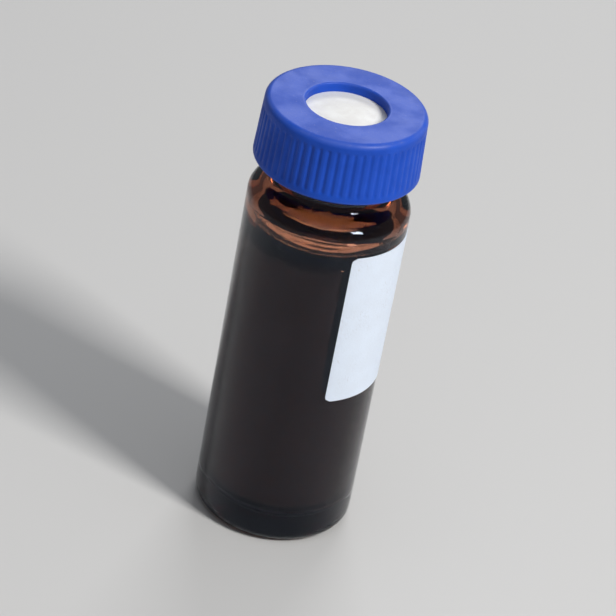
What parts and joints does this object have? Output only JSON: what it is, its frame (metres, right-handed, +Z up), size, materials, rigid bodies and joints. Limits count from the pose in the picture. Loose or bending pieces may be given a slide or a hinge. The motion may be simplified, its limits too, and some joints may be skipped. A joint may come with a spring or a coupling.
{
  "type": "screw-cap sample vial",
  "caption": "Small brown glass vial with a white writing patch and fill marks, a blue screw cap with a needle hole, a two-layer septum and a liquid sample.",
  "frame": {"origin": "middle of the plane that the vial's base stands on", "axes": "+Z up along the vial's axis, -Y the front, the writing patch on the right side (+X) and the fill marks behind it"},
  "size_m": [0.0118, 0.0118, 0.0337],
  "materials": {
    "amber_glass": "clear brown, smooth",
    "sample": "clear dark brown liquid",
    "fired_white_ink": "white ceramic ink, fine matt",
    "red_ptfe": "thin smooth film",
    "white_silicone": "soft matt",
    "blue_polypropylene": "moulded satin"
  },
  "bodies": {
    "vial": {"vial_body": "amber_glass", "sample_liquid": "sample", "write_on_patch": "fired_white_ink", "fill_marks": "fired_white_ink"},
    "septum": {"septum_facing": "red_ptfe", "septum_silicone": "white_silicone"},
    "cap": {"screw_cap": "blue_polypropylene"}
  },
  "joints": [
    {"name": "cap_rise", "type": "slide", "parent": "vial", "child": "septum", "axis": [0, 0, 1], "range_m": [0, 0.00363]},
    {"name": "cap_turn", "type": "hinge", "parent": "septum", "child": "cap", "pos_m": [0, 0, 0.031], "axis": [0, 0, 1], "range_deg": [0, 720]}
  ],
  "couplings": [
    {"joint": "cap_turn", "follows": "cap_rise", "rad_per_m": 3463.2}
  ]
}
